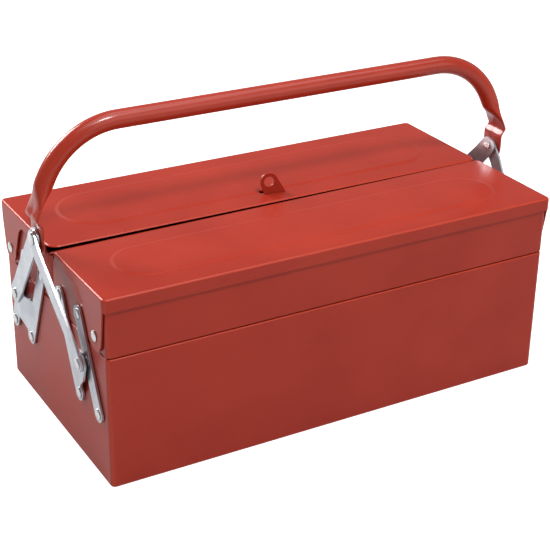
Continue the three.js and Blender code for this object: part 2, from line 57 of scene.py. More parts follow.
NEAR = 1e-5
CORNER_STEPS = 6
EDGE_STEPS = 4
# Faces turned this far off the flat sides get the painted highlight along folds.
FOLD_HIGHLIGHT_FLATNESS = 0.992
FOLD_HIGHLIGHT_SPAN = 0.16
Colour = tuple[float, float, float]
Station = tuple[Vector, float, float, float]
BODY_OF = {
    node: body
    for body, members in frame["record"]["behaviour"]["bodies"].items()
    for node in members
}
JOINTS = {joint["name"]: joint for joint in frame["joints"]}


class Row(Enum):
    """The front or the rear half of the box; the value is its side along Y."""

    FRONT = -1
    REAR = 1

    @property
    def tag(self) -> str:
        """Name as it stands in node names."""
        return self.name.lower()


class Slot(Enum):
    """Material slots of the record."""

    PAINT = "red_paint"
    ZINC = "zinc_plate"
    RIVET = "rivet_steel"


class Cut(Enum):
    """What one solid does to another; the value is the modifier's own word."""

    KEEP_SHARED = "INTERSECT"
    TAKE_AWAY = "DIFFERENCE"


# ---------------------------------------------------------------- shader node groups
def new_group(name: str, inputs: dict[str, float], outputs: Iterable[str]) -> bpy.types.NodeTree:
    """Start a shader node group whose inputs and outputs are plain values.

    Args:
        name: Name of the group.
        inputs: Input names and their default values.
        outputs: Output names.

    Returns:
        The group, holding only its input and output nodes.
    """
    group = bpy.data.node_groups.new(name, "ShaderNodeTree")
    for label, value in inputs.items():
        socket = group.interface.new_socket(label, in_out="INPUT", socket_type="NodeSocketFloat")
        socket.default_value = value
    for label in outputs:
        group.interface.new_socket(label, in_out="OUTPUT", socket_type="NodeSocketFloat")
    group.nodes.new("NodeGroupInput").name = "in"
    group.nodes.new("NodeGroupOutput").name = "out"
    return group


def noise_node(group: bpy.types.NodeTree, detail: float, roughness: float) -> bpy.types.Node:
    """Add a noise texture on Object coordinates.

    Args:
        group: Node tree that the texture goes in.
        detail: Octaves of the noise.
        roughness: How strong the finer octaves are.

    Returns:
        The texture node.
    """
    coordinates = group.nodes.new("ShaderNodeTexCoord")
    noise = group.nodes.new("ShaderNodeTexNoise")
    noise.inputs["Detail"].default_value = detail
    noise.inputs["Roughness"].default_value = roughness
    group.links.new(coordinates.outputs["Object"], noise.inputs["Vector"])
    return noise


def peel_group() -> bpy.types.NodeTree:
    """Orange peel of a sprayed or plated skin.

    Returns:
        Group with input Scale and outputs Height, the small waves, and Mask, broad patches.
    """
    group = new_group("skin_waves", {"Scale": 420.0, "Patch Scale": 9.0}, ["Height", "Mask"])
    source, target = group.nodes["in"], group.nodes["out"]
    waves = noise_node(group, 2.0, 0.45)
    patches = noise_node(group, 3.0, 0.55)
    group.links.new(source.outputs["Scale"], waves.inputs["Scale"])
    group.links.new(source.outputs["Patch Scale"], patches.inputs["Scale"])
    group.links.new(waves.outputs["Fac"], target.inputs["Height"])
    group.links.new(patches.outputs["Fac"], target.inputs["Mask"])
    return group


def add_group(
    material: bpy.types.Material, group: bpy.types.NodeTree, **values: float,
) -> bpy.types.Node:
    """Place a node group in a material.

    Args:
        material: Material that uses the group.
        group: The group.
        values: Values for its inputs, with underscores for spaces.

    Returns:
        The group node.
    """
    node = material.node_tree.nodes.new("ShaderNodeGroup")
    node.node_tree = group
    for label, value in values.items():
        node.inputs[label.replace("_", " ")].default_value = value
    return node


def ramp(
    material: bpy.types.Material, low: Colour, high: Colour, span: tuple[float, float],
    mask: bpy.types.NodeSocket,
) -> bpy.types.NodeSocket:
    """Colour a mask with a two-colour ramp.

    Args:
        material: Material that holds the ramp.
        low: Colour at and below the span.
        high: Colour at and above it.
        span: Where the first colour ends and the second is reached.
        mask: Output that drives the ramp.

    Returns:
        The ramp's colour output.
    """
    node = material.node_tree.nodes.new("ShaderNodeValToRGB")
    for element, colour, position in zip(node.color_ramp.elements, (low, high), span):
        element.position = position
        element.color = (*colour, 1.0)
    material.node_tree.links.new(mask, node.inputs["Fac"])
    return node.outputs["Color"]


def add_gloss(
    material: bpy.types.Material, shader: bpy.types.Node, mask: bpy.types.NodeSocket,
    roughness: tuple[float, float], span: tuple[float, float],
) -> None:
    """Let the roughness follow a mask.

    Args:
        material: Material to change.
        shader: Its shader.
        mask: Output that the roughness follows.
        roughness: Least and greatest roughness.
        span: Where on the mask the two are reached.
    """
    smooth, rough = ((value,) * 3 for value in roughness)
    material.node_tree.links.new(
        ramp(material, smooth, rough, span, mask), shader.inputs["Roughness"],
    )


def add_bump(
    material: bpy.types.Material, shader: bpy.types.Node, height: bpy.types.NodeSocket,
    strength: float, depth: float,
) -> None:
    """Let small waves turn the surface's normals.

    Args:
        material: Material to change.
        shader: Its shader.
        height: Output that holds the waves.
        strength: Strength of the bump.
        depth: Its distance.
    """
    bump = material.node_tree.nodes.new("ShaderNodeBump")
    bump.inputs["Strength"].default_value = strength
    bump.inputs["Distance"].default_value = depth
    material.node_tree.links.new(height, bump.inputs["Height"])
    material.node_tree.links.new(bump.outputs["Normal"], shader.inputs["Normal"])


def new_material(name: str) -> tuple[bpy.types.Material, bpy.types.Node]:
    """Make a material with nodes.

    Args:
        name: Name of the material.

    Returns:
        The material and its Principled shader.
    """
    material = bpy.data.materials.new(name)
    material.use_nodes = True
    shader = next(n for n in material.node_tree.nodes if n.type == "BSDF_PRINCIPLED")
    return material, shader


# ---------------------------------------------------------------- finishes
@dataclass(frozen=True)
class Paint:
    """Glossy red stoving paint with a fine orange peel and a painted highlight along its folds."""

    name: str = "red_stoving_paint"
    deep: Colour = (0.310, 0.020, 0.008)
    light: Colour = (0.350, 0.026, 0.011)
    # Orange-red painted highlight on folds and bevels, standing in for light reflected there.
    fold: Colour = (0.43, 0.034, 0.012)
    tint_span: tuple[float, float] = (0.35, 0.68)
    patch_scale: float = 13.0
    roughness: float = 0.34
    smoother: float = 0.05
    rougher: float = 0.07
    gloss_span: tuple[float, float] = (0.3, 0.75)
    peel_scale: float = 900.0
    peel: float = 0.09
    peel_depth: float = 0.2 * MM
    coat: float = 0.07
    coat_roughness: float = 0.12
    specular: float = 0.32
    refraction: float = 1.45

    def build(self, waves: bpy.types.NodeTree) -> bpy.types.Material:
        """Make the material.

        Args:
            waves: Group that gives the peel and the patches.

        Returns:
            The material.
        """
        material, shader = new_material(self.name)
        links = material.node_tree.links
        skin = add_group(material, waves, Scale=self.peel_scale, Patch_Scale=self.patch_scale)
        tint = ramp(material, self.deep, self.light, self.tint_span, skin.outputs["Mask"])
        # The face mask of folds mixes in the painted highlight.
        fold = material.node_tree.nodes.new("ShaderNodeAttribute")
        fold.attribute_name = "fold"
        mix = material.node_tree.nodes.new("ShaderNodeMix")
        mix.data_type = "RGBA"
        mix.inputs["B"].default_value = (*self.fold, 1.0)
        links.new(fold.outputs["Fac"], mix.inputs["Factor"])
        links.new(tint, mix.inputs["A"])
        links.new(mix.outputs["Result"], shader.inputs["Base Color"])
        roughness = (self.roughness - self.smoother, self.roughness + self.rougher)
        add_gloss(material, shader, skin.outputs["Mask"], roughness, self.gloss_span)
        add_bump(material, shader, skin.outputs["Height"], self.peel, self.peel_depth)
        shader.inputs["IOR"].default_value = self.refraction
        shader.inputs["Specular IOR Level"].default_value = self.specular
        shader.inputs["Coat Weight"].default_value = self.coat
        shader.inputs["Coat Roughness"].default_value = self.coat_roughness
        return material


@dataclass(frozen=True)
class Plated:
    """Plated steel with a fine grain and faint duller patches."""

    name: str
    dull: Colour
    bright: Colour
    roughness: float
    grain: float
    bump: float
    bump_depth: float = 0.1 * MM
    patch_scale: float = 60.0
    smoother: float = 0.06
    rougher: float = 0.1
    span: tuple[float, float] = (0.3, 0.7)

    def build(self, waves: bpy.types.NodeTree) -> bpy.types.Material:
        """Make the material.

        Args:
            waves: Group that gives the grain and the patches.

        Returns:
            The material.
        """
        material, shader = new_material(self.name)
        skin = add_group(material, waves, Scale=self.grain, Patch_Scale=self.patch_scale)
        tint = ramp(material, self.dull, self.bright, self.span, skin.outputs["Mask"])
        material.node_tree.links.new(tint, shader.inputs["Base Color"])
        roughness = (self.roughness - self.smoother, self.roughness + self.rougher)
        add_gloss(material, shader, skin.outputs["Height"], roughness, self.span)
        add_bump(material, shader, skin.outputs["Height"], self.bump, self.bump_depth)
        shader.inputs["Metallic"].default_value = 1.0
        return material


@dataclass(frozen=True)
class Finishes:
    """The finishes of the toolbox, by the record's slots, and the handle's glossier paint."""

    handle: bpy.types.Material
    by_slot: dict[Slot, bpy.types.Material]

    @classmethod
    def make(cls) -> "Finishes":
        """Build every finish once.

        Returns:
            The finishes.
        """
        waves = peel_group()
        zinc = Plated(
            name="bright_zinc", dull=(0.52, 0.55, 0.60), bright=(0.70, 0.73, 0.77),
            roughness=0.34, grain=900.0, bump=0.08,
        )
        rivet = Plated(
            name="rivet_nickel", dull=(0.62, 0.62, 0.63), bright=(0.82, 0.82, 0.82),
            roughness=0.22, grain=600.0, bump=0.05,
        )
        glossy = Paint(
            name="red_handle_paint", deep=(0.33, 0.024, 0.009), light=(0.38, 0.030, 0.012),
            roughness=0.3, coat=0.35,
        )
        return cls(glossy.build(waves), {
            Slot.PAINT: Paint().build(waves),
            Slot.ZINC: zinc.build(waves),
            Slot.RIVET: rivet.build(waves),
        })


# ---------------------------------------------------------------- mesh helpers
def fresh_cube(low: Vector, high: Vector) -> bmesh.types.BMesh:
    """Make a box between two corners.

    Args:
        low: Lowest corner.
        high: Highest corner.

    Returns:
        The mesh.
    """
    bm = bmesh.new()
    bmesh.ops.create_cube(bm, size=1.0)
    bmesh.ops.scale(bm, vec=high - low, verts=bm.verts)
    bmesh.ops.translate(bm, vec=(low + high) / 2, verts=bm.verts)
    return bm


def round_edges(
    bm: bmesh.types.BMesh, edges: list[bmesh.types.BMEdge], radius: float, segments: int,
) -> None:
    """Round edges over.

    Args:
        bm: Mesh to change.
        edges: Its edges.
        radius: Width of the rounding.
        segments: Number of facets.
    """
    if edges:
        bmesh.ops.bevel(
            bm, geom=edges, offset=radius, offset_type="OFFSET", segments=segments,
            profile=0.5, affect="EDGES", clamp_overlap=True, material=-1,
        )


def edges_where(
    bm: bmesh.types.BMesh, test: Callable[[Vector], bool], sharp: float = 25.0,
) -> list[bmesh.types.BMEdge]:
    """Pick the sharp edges whose two ends both pass a test.

    Args:
        bm: Mesh to search.
        test: Says whether a point counts.
        sharp: Least angle between the faces, in degrees.

    Returns:
        The edges.
    """
    return [
        e for e in bm.edges
        if all(test(v.co) for v in e.verts)
        and (len(e.link_faces) < 2 or e.calc_face_angle(0.0) > math.radians(sharp))
    ]


def upright_edges(bm: bmesh.types.BMesh) -> list[bmesh.types.BMEdge]:
    """The edges whose two ends differ in height."""
    return [e for e in bm.edges if abs(e.verts[0].co.z - e.verts[1].co.z) > NEAR]


def settle(bm: bmesh.types.BMesh, crease: float = 38.0) -> None:
    """Close seams, point faces outwards and mark creases.

    Args:
        bm: Mesh to change.
        crease: Angle in degrees past which an edge stays sharp.
    """
    bmesh.ops.remove_doubles(bm, verts=bm.verts, dist=NEAR / 2)
    bmesh.ops.recalc_face_normals(bm, faces=bm.faces)
    for face in bm.faces:
        face.smooth = True
    for edge in bm.edges:
        edge.smooth = len(edge.link_faces) == 2 and edge.calc_face_angle(0.0) < math.radians(crease)


def mark_folds(bm: bmesh.types.BMesh) -> None:
    """Store on every face how far it turns away from the box's flat sides, from 0 to 1, as the mask of the painted
    highlight along folds.

    Args:
        bm: Mesh to change.
    """
    layer = bm.faces.layers.float.new("fold")
    for face in bm.faces:
        flat = max(abs(part) for part in face.normal)
        face[layer] = min(1.0, max(0.0, (FOLD_HIGHLIGHT_FLATNESS - flat) / FOLD_HIGHLIGHT_SPAN))


def object_of(bm: bmesh.types.BMesh, name: str) -> bpy.types.Object:
    """Turn a bmesh into an object at the origin.

    Args:
        bm: The mesh, which is freed.
        name: Name of the object.

    Returns:
        The object, linked to the scene.
    """
    mesh = bpy.data.meshes.new(name)
    bm.to_mesh(mesh)
    bm.free()
    piece = bpy.data.objects.new(name, mesh)
    bpy.context.scene.collection.objects.link(piece)
    return piece


def place(
    bm: bmesh.types.BMesh, name: str, node: str, slot: Slot, finishes: Finishes,
    with_fold_highlight: bool = False,
) -> bpy.types.Object:
    """Finish a piece that stands for a CAD node.

    Args:
        bm: Its mesh.
        name: Name of the piece.
        node: CAD node that it replaces, whose body it rides on.
        slot: Material slot.
        finishes: Where its material comes from.
        with_fold_highlight: Whether the piece is folded sheet, with a painted highlight along its folds.

    Returns:
        The piece.
    """
    settle(bm)
    if with_fold_highlight:
        mark_folds(bm)
    piece = object_of(bm, name)
    piece.data.materials.append(finishes.by_slot[slot])
    weighted = piece.modifiers.new("even_shading", "WEIGHTED_NORMAL")
    weighted.keep_sharp = True
    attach(piece, BODY_OF[node])
    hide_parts(node)
    log.info("%s rides on %s, %d faces", name, BODY_OF[node], len(piece.data.polygons))
    return piece


def cut_with(body: bpy.types.Object, tool: bpy.types.Object, cut: Cut) -> None:
    """Cut one object with another, which is then removed.

    Args:
        body: Object that is changed.
        tool: The other object.
        cut: What the other object does.
    """
    modifier = body.modifiers.new("cut", "BOOLEAN")
    modifier.operation = cut.value
    modifier.object = tool
    modifier.solver = "EXACT"
    graph = bpy.context.evaluated_depsgraph_get()
    result = bpy.data.meshes.new_from_object(body.evaluated_get(graph))
    body.modifiers.clear()
    body.data = result
    bpy.data.objects.remove(tool)


def refined_copy(node: str, edge_radius: float, sharp: float = 50.0) -> bmesh.types.BMesh:
    """Copy a node's mesh with its seams closed and its edges broken.

    Args:
        node: The CAD node.
        edge_radius: Width of the broken edges.
        sharp: Least angle of the edges that are broken, in degrees.

    Returns:
        The mesh.
    """
    bm = bmesh.new()
    bm.from_mesh(frame["nodes"][node].data)
    bmesh.ops.remove_doubles(bm, verts=bm.verts, dist=NEAR)
    bmesh.ops.dissolve_limit(bm, angle_limit=math.radians(1.0), verts=bm.verts, edges=bm.edges)
    edges = [
        e for e in bm.edges
        if len(e.link_faces) == 2 and e.calc_face_angle(0.0) > math.radians(sharp)
    ]
    round_edges(bm, edges, edge_radius, 2)
    return bm


# ---------------------------------------------------------------- base and trays
@dataclass
class OpenBox:
    """A folded box without a top: one sheet, with its rim turned inwards as a hem."""

    node: str
    sheet: float = 1.2 * MM
    corner: float = 4.0 * MM
    hem: float = 2.6 * MM
    hem_height: float = 5.0 * MM
    rim_radius: float = 1.15 * MM
    foot_radius: float = 1.7 * MM

    def mesh(self) -> bmesh.types.BMesh:
        """Fold the box.

        Returns:
            The closed mesh.
        """
        low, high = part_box(self.node)
        bm = fresh_cube(low, high)
        round_edges(bm, upright_edges(bm), self.corner, CORNER_STEPS)
        top = max(bm.faces, key=lambda f: f.calc_center_median().z)
        bmesh.ops.inset_region(bm, faces=[top], thickness=self.hem, use_even_offset=True)
        top = self.lowered(bm, top, self.hem_height)
        top = self.lowered(bm, top, 0.0)
        self.spread(top, low, high)
        self.lowered(bm, top, high.z - self.hem_height - low.z - self.sheet)
        rim = edges_where(bm, lambda p: abs(p.z - high.z) < NEAR)
        round_edges(bm, rim, self.rim_radius, EDGE_STEPS)
        foot = edges_where(bm, lambda p: abs(p.z - low.z) < NEAR)
        round_edges(bm, foot, self.foot_radius, EDGE_STEPS)
        return bm

    def lowered(
        self, bm: bmesh.types.BMesh, top: bmesh.types.BMFace, drop: float,
    ) -> bmesh.types.BMFace:
        """Extrude the inner face downwards.

        Args:
            bm: Mesh to change.
            top: The face.
            drop: How far down.

        Returns:
            The face at its new height.
        """
        moved = bmesh.ops.extrude_discrete_faces(bm, faces=[top])["faces"][0]
        bmesh.ops.translate(bm, verts=moved.verts, vec=(0, 0, -drop))
        return moved

    def spread(self, face: bmesh.types.BMFace, low: Vector, high: Vector) -> None:
        """Push the inner face out from under the hem to the wall's inside.

        Args:
            face: The face to widen.
            low: Lowest corner of the box.
            high: Highest corner of the box.
        """
        for vert in face.verts:
            core = Vector((
                min(max(vert.co.x, low.x + self.corner), high.x - self.corner),
                min(max(vert.co.y, low.y + self.corner), high.y - self.corner),
                vert.co.z,
            ))
            vert.co += (vert.co - core).normalized() * (self.hem - self.sheet)


@dataclass
class Carcass:
    """The base and the two trays."""

    boxes: tuple[tuple[str, str], ...] = (
        ("base_shell", "base_box"),
        ("front_tray_shell", "front_tray"),
        ("rear_tray_shell", "rear_tray"),
    )

    def build(self, finishes: Finishes) -> None:
        """Make and dress the three boxes.

        Args:
            finishes: Where their paint comes from.
        """
        for name, node in self.boxes:
            place(OpenBox(node).mesh(), name, node, Slot.PAINT, finishes, with_fold_highlight=True)


# ---------------------------------------------------------------- lids
@dataclass
class Lid:
    """A lid with a raised panel, folded skirts and an ear at each end.

    The panel's steps are pairs of width and rise, and the slot's corners are measured from its
    middle, all in millimetres.
    """

    row: Row
    sheet: float = 1.2 * MM
    fold_radius: float = 1.9 * MM
    corner: float = 4.0 * MM
    free_corner: float = 9.0 * MM
    skirt: float = 11.0 * MM
    end_skirt: float = 8.5 * MM
    ear_radius: float = 11.8 * MM
    ear_inner: float = 25.0 * MM
    ear_outer: float = 15.8 * MM
    ear_fillet: float = 8.0 * MM
    ear_steps: int = 14
    panel_long: float = 19.5 * MM
    panel_end: float = 28.0 * MM
    panel_rise: float = 1.0 * MM
    panel_steps: tuple[tuple[float, float], ...] = (
        (0.9, 0.1), (1.3, 0.42), (1.3, 0.4), (0.9, 0.08),
    )
    panel_sides: int = 48
    tongue_drop: float = 6.2 * MM
    tongue_run: float = 6.0 * MM
    tongue_reach: float = 1.7 * MM
    shoulder_slant: float = 3.4 * MM
    slope_end: float = -4.9 * MM
    slope_drop: float = 2.05 * MM
    slope_twist: float = 1.15 * MM
    crease_radius: float = 0.9 * MM
    slot_low: tuple[float, float, float] = (-7.0, 2.4, -4.0)
    slot_high: tuple[float, float, float] = (1.0, 6.5, 4.0)
    slot_turn: float = math.radians(-8.0)
    slot_from_eye: float = 7.9 * MM
    clearance: float = 0.05 * MM
    margin: float = 1.0 * MM
    above: float = 5.0 * MM
    past_edge: float = 12.0 * MM
    cutter_length: float = 500.0 * MM
    low: Vector = field(init=False)
    high: Vector = field(init=False)
    pivot: Vector = field(init=False)
    top: float = field(init=False)
    outer: float = field(init=False)
    free: float = field(init=False)

    def build(self, finishes: Finishes) -> None:
        """Make and dress the lid.

        Args:
            finishes: Where its paint comes from.
        """
        node = f"{self.row.tag}_lid"
        self.low, self.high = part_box(node)
        self.top = self.high.z - self.panel_rise
        self.pivot = Vector(JOINTS[f"{self.row.tag}_lid_hinge"]["pos_m"])
        self.outer = self.row.value * max(abs(self.low.y), abs(self.high.y))
        if self.row is Row.REAR:
            self.free = self.low.y
        else:
            self.free = self.high.y - self.tongue_reach - self.tongue_run
        shell = object_of(self.shell(), "lid_shell")
        cut_with(shell, object_of(self.profile(), "lid_profile"), Cut.KEEP_SHARED)
        if self.row is Row.REAR:
            cut_with(shell, object_of(self.slot(), "hasp_slot"), Cut.TAKE_AWAY)
        bm = bmesh.new()
        bm.from_mesh(shell.data)
        bpy.data.objects.remove(shell)
        place(bm, f"{self.row.tag}_lid_shell", node, Slot.PAINT, finishes, with_fold_highlight=True)

    def slot(self) -> bmesh.types.BMesh:
        """Slot beside the hasp eye's foot.

        Returns:
            A block to cut with.
        """
        low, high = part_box("hasp_eye")
        bm = fresh_cube(Vector(self.slot_low) * MM, Vector(self.slot_high) * MM)
        turn = Matrix.Rotation(self.slot_turn, 3, "Z")
        bmesh.ops.rotate(bm, verts=bm.verts, cent=(0, 0, 0), matrix=turn)
        beside_eye = (low.x + self.slot_from_eye, (low.y + high.y) / 2, self.top)
        bmesh.ops.translate(bm, verts=bm.verts, vec=beside_eye)
        return bm

    def shell(self) -> bmesh.types.BMesh:
        """Fold the lid's top and skirts, deep enough for the ears.

        Returns:
            The shell with its sheet thickness.
        """
        side = self.row.value
        edges = sorted((self.free, self.outer))
        bm = fresh_cube(
            Vector((self.low.x, edges[0], self.low.z - self.sheet)),
            Vector((self.high.x, edges[1], self.top)),
        )
        outer = [e for e in upright_edges(bm) if abs(e.verts[0].co.y - self.outer) < NEAR]
        round_edges(bm, outer, self.corner, CORNER_STEPS)
        if self.row is Row.REAR:
            free = [e for e in upright_edges(bm) if abs(e.verts[0].co.y - self.free) < NEAR]
            round_edges(bm, free, self.free_corner, CORNER_STEPS)
        gone = [f for f in bm.faces if f.normal.z < -0.9]
        if self.row is Row.FRONT:
            gone += [f for f in bm.faces if f.normal.y * side < -0.98]
        bmesh.ops.delete(bm, geom=gone, context="FACES")
        if self.row is Row.FRONT:
            self.add_tongue(bm)
        folds = edges_where(bm, lambda p: abs(p.z - self.top) < NEAR, 60.0)
        folds = [e for e in folds if len(e.link_faces) == 2]
        round_edges(bm, folds, self.fold_radius, EDGE_STEPS)
        self.add_panel(bm)
        bmesh.ops.recalc_face_normals(bm, faces=bm.faces)
        bmesh.ops.solidify(bm, geom=bm.faces[:], thickness=self.sheet)
        return bm

    def add_tongue(self, bm: bmesh.types.BMesh) -> None:
        """Set the front lid's free edge down under the rear lid.

        Args:
            bm: Mesh to change.
        """
        rim = [
            e for e in bm.edges
            if all(math.hypot(v.co.y - self.free, v.co.z - self.top) < NEAR for v in e.verts)
        ]
        shoulder = {v for e in rim for v in e.verts}
        slope = self.slope_end - self.free
        steps = (
            (slope, 0.0), (self.tongue_run - slope, -self.tongue_drop), (self.tongue_reach, 0.0),
        )
        for number, (run, drop) in enumerate(steps):
            made = bmesh.ops.extrude_edge_only(bm, edges=rim)["geom"]
            verts = [v for v in made if isinstance(v, bmesh.types.BMVert)]
            bmesh.ops.translate(bm, verts=verts, vec=(0, run, drop))
            if number == 0:
                slope_verts = verts
            rim = [e for e in made if isinstance(e, bmesh.types.BMEdge)]
            rim = [e for e in rim if all(v in verts for v in e.verts)]
        for vert in shoulder:
            vert.co.y += self.shoulder_slant * vert.co.x / self.high.x
        for vert in slope_verts:
            vert.co.z += self.slope_twist * vert.co.x / self.high.x - self.slope_drop
        creases = [
            e for e in bm.edges
            if len(e.link_faces) == 2
            and abs(e.verts[0].co.x - e.verts[1].co.x) > self.high.x
            and e.verts[0].co.y >= self.free - abs(self.shoulder_slant) - NEAR
        ]
        round_edges(bm, creases, self.crease_radius, 3)

    def add_panel(self, bm: bmesh.types.BMesh) -> None:
        """Raise the stadium-shaped panel out of the top.

        Args:
            bm: Mesh to change.
        """
        top = max(bm.faces, key=lambda f: f.calc_area() if f.normal.z > 0.9 else 0.0)
        border = list(top.edges)
        bmesh.ops.delete(bm, geom=[top], context="FACES_ONLY")
        edges = sorted((self.free, self.outer))
        middle = (edges[0] + edges[1]) / 2
        radius = (edges[1] - edges[0]) / 2 - self.panel_long
        reach = (self.high.x - self.low.x) / 2 - self.panel_end - radius
        centre_x = (self.high.x + self.low.x) / 2
        ring = bmesh.ops.create_circle(
            bm, cap_ends=True, radius=radius, segments=self.panel_sides,
        )["verts"]
        face = ring[0].link_faces[0]
        for vert in ring:
            vert.co.x += centre_x + math.copysign(reach, vert.co.x)
            vert.co.y += middle
            vert.co.z += self.top
        if face.normal.z < 0:
            face.normal_flip()
        inner = list(face.edges)
        bmesh.ops.triangle_fill(bm, edges=border + inner, use_beauty=True)
        inside = [
            f for f in bm.faces
            if f is not face and len(f.verts) == 3 and self.within(f, middle, radius)
        ]
        bmesh.ops.delete(bm, geom=inside, context="FACES_ONLY")
        face.normal_update()
        if face.normal.z < 0:
            face.normal_flip()
        for width, rise in self.panel_steps:
            bmesh.ops.inset_region(
                bm, faces=[face], thickness=width * MM, depth=0.0, use_even_offset=True,
            )
            for vert in face.verts:
                vert.co.z += rise * MM

    def within(self, face: bmesh.types.BMFace, middle: float, radius: float) -> bool:
        """Whether a flat face lies inside the panel's outline.

        Args:
            face: The face.
            middle: Y of the panel's middle.
            radius: Radius of its round ends.

        Returns:
            True if it does.
        """
        centre = face.calc_center_median()
        if abs(centre.z - self.top) > NEAR:
            return False
        reach = (self.high.x - self.low.x) / 2 - self.panel_end - radius
        centre_x = (self.high.x + self.low.x) / 2
        dx = max(0.0, abs(centre.x - centre_x) - reach)
        return math.hypot(dx, centre.y - middle) < radius * 0.985

    def profile(self) -> bmesh.types.BMesh:
        """What the lid keeps of its shell, seen from the end.

        Returns:
            A prism along X.
        """
        side = self.row.value
        under = self.top - self.end_skirt
        plate_under = self.top - self.sheet - self.clearance
        pivot = Vector((0.0, abs(self.pivot.y), self.pivot.z))
        free = side * self.free
        flap_end = free + (self.free_corner if self.row is Row.REAR else -self.margin)
        above = self.top + self.above
        beyond = abs(self.outer) + self.margin
        low_free = plate_under if self.row is Row.REAR else plate_under - self.tongue_drop
        bm = bmesh.new()
        start = bm.verts.new((0.0, pivot.y - self.ear_radius, pivot.z))
        bmesh.ops.spin(
            bm, geom=[start], cent=pivot, axis=(1, 0, 0), angle=math.pi,
            steps=self.ear_steps, use_merge=False,
        )
        bm.verts.ensure_lookup_table()
        ends = sorted(
            (v for v in bm.verts if len(v.link_edges) == 1), key=lambda v: v.co.y,
        )
        reach = free - self.past_edge
        corners = [
            (pivot.y + self.ear_outer, self.top - self.skirt), (beyond, self.top - self.skirt),
            (beyond, above), (reach, above), (reach, low_free), (flap_end, low_free),
            (flap_end, under), (pivot.y - self.ear_inner, under),
        ]
        previous = ends[-1]
        fillet = None
        for y, z in corners:
            vert = bm.verts.new((0.0, y, z))
            bm.edges.new((previous, vert))
            previous = fillet = vert
        bm.edges.new((previous, ends[0]))
        bmesh.ops.bevel(
            bm, geom=[fillet], offset=self.ear_fillet, offset_type="OFFSET", segments=CORNER_STEPS,
            profile=0.5, affect="VERTICES", clamp_overlap=True, material=-1,
        )
        bmesh.ops.contextual_create(bm, geom=bm.edges[:])
        bmesh.ops.scale(bm, vec=(1, side, 1), verts=bm.verts)
        face = bm.faces[:][0]
        out = bmesh.ops.extrude_face_region(bm, geom=[face])["geom"]
        verts = [v for v in out if isinstance(v, bmesh.types.BMVert)]
        bmesh.ops.translate(bm, verts=verts, vec=(self.cutter_length, 0, 0))
        bmesh.ops.translate(bm, verts=bm.verts, vec=(-self.cutter_length / 2, 0, 0))
        bmesh.ops.recalc_face_normals(bm, faces=bm.faces)
        return bm


# ---------------------------------------------------------------- linkage
@dataclass
class Linkage:
    """Links, cranks and rods, with the rivets that hold them.

    The tail lists radius and height of the rivet's inner end, in millimetres. The dome lists the
    share of the head's radius and the depth under its top, in millimetres.
    """

    edge_radius: float = 0.28 * MM
    rivet_steps: int = 24
    shank: float = 2.0 * MM
    tail: tuple[tuple[float, float], ...] = (
        (0.0, 0.0), (3.5, 0.0), (3.88, 0.15), (4.0, 0.5), (4.0, 1.0),
    )
    dome: tuple[tuple[float, float], ...] = (
        (1.0, 1.2), (1.0, 0.86), (0.94, 0.6), (0.8, 0.33), (0.6, 0.14), (0.3, 0.03), (0.0, 0.0),
    )

    def build(self, finishes: Finishes) -> None:
        """Make and dress every bar and rivet.

        Args:
            finishes: Where the zinc and the nickel come from.
        """
        bars = [n for n in frame["nodes"] if n.startswith(("outer_link", "crank_", "handle_rod"))]
        for node in sorted(bars):
            place(refined_copy(node, self.edge_radius), f"{node}_bar", node, Slot.ZINC, finishes)
        rivets = [n for n in frame["nodes"] if n.startswith("rivet_")]
        for node in sorted(rivets):
            place(self.rivet(node), f"{node}_domed", node, Slot.RIVET, finishes)

    def rivet(self, node: str) -> bmesh.types.BMesh:
        """Turn a rivet: domed head outside, flat tail inside, plain shank.

        Args:
            node: CAD node whose place and size it takes.

        Returns:
            The mesh.
        """
        low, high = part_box(node)
        middle = (low + high) / 2
        side = 1 if middle.x > 0 else -1
        head = (high.z - low.z) / 2
        length = high.x - low.x
        profile = [(radius * MM, along * MM) for radius, along in self.tail]
        profile += [(self.shank, profile[-1][1]), (self.shank, length - self.dome[0][1] * MM)]
        profile += [(head * share, length - depth * MM) for share, depth in self.dome]
        bm = bmesh.new()
        verts = [bm.verts.new((along, radius, 0.0)) for radius, along in profile]
        edges = [bm.edges.new(pair) for pair in zip(verts, verts[1:])]
        bmesh.ops.spin(
            bm, geom=verts + edges, cent=(0, 0, 0), axis=(1, 0, 0), angle=math.tau,
            steps=self.rivet_steps, use_merge=True,
        )
        bmesh.ops.remove_doubles(bm, verts=bm.verts, dist=NEAR)
        if side < 0:
            bmesh.ops.scale(bm, vec=(-1, 1, 1), verts=bm.verts)
        inner = low.x if side > 0 else high.x
        bmesh.ops.translate(bm, vec=(inner, middle.y, middle.z), verts=bm.verts)
        return bm


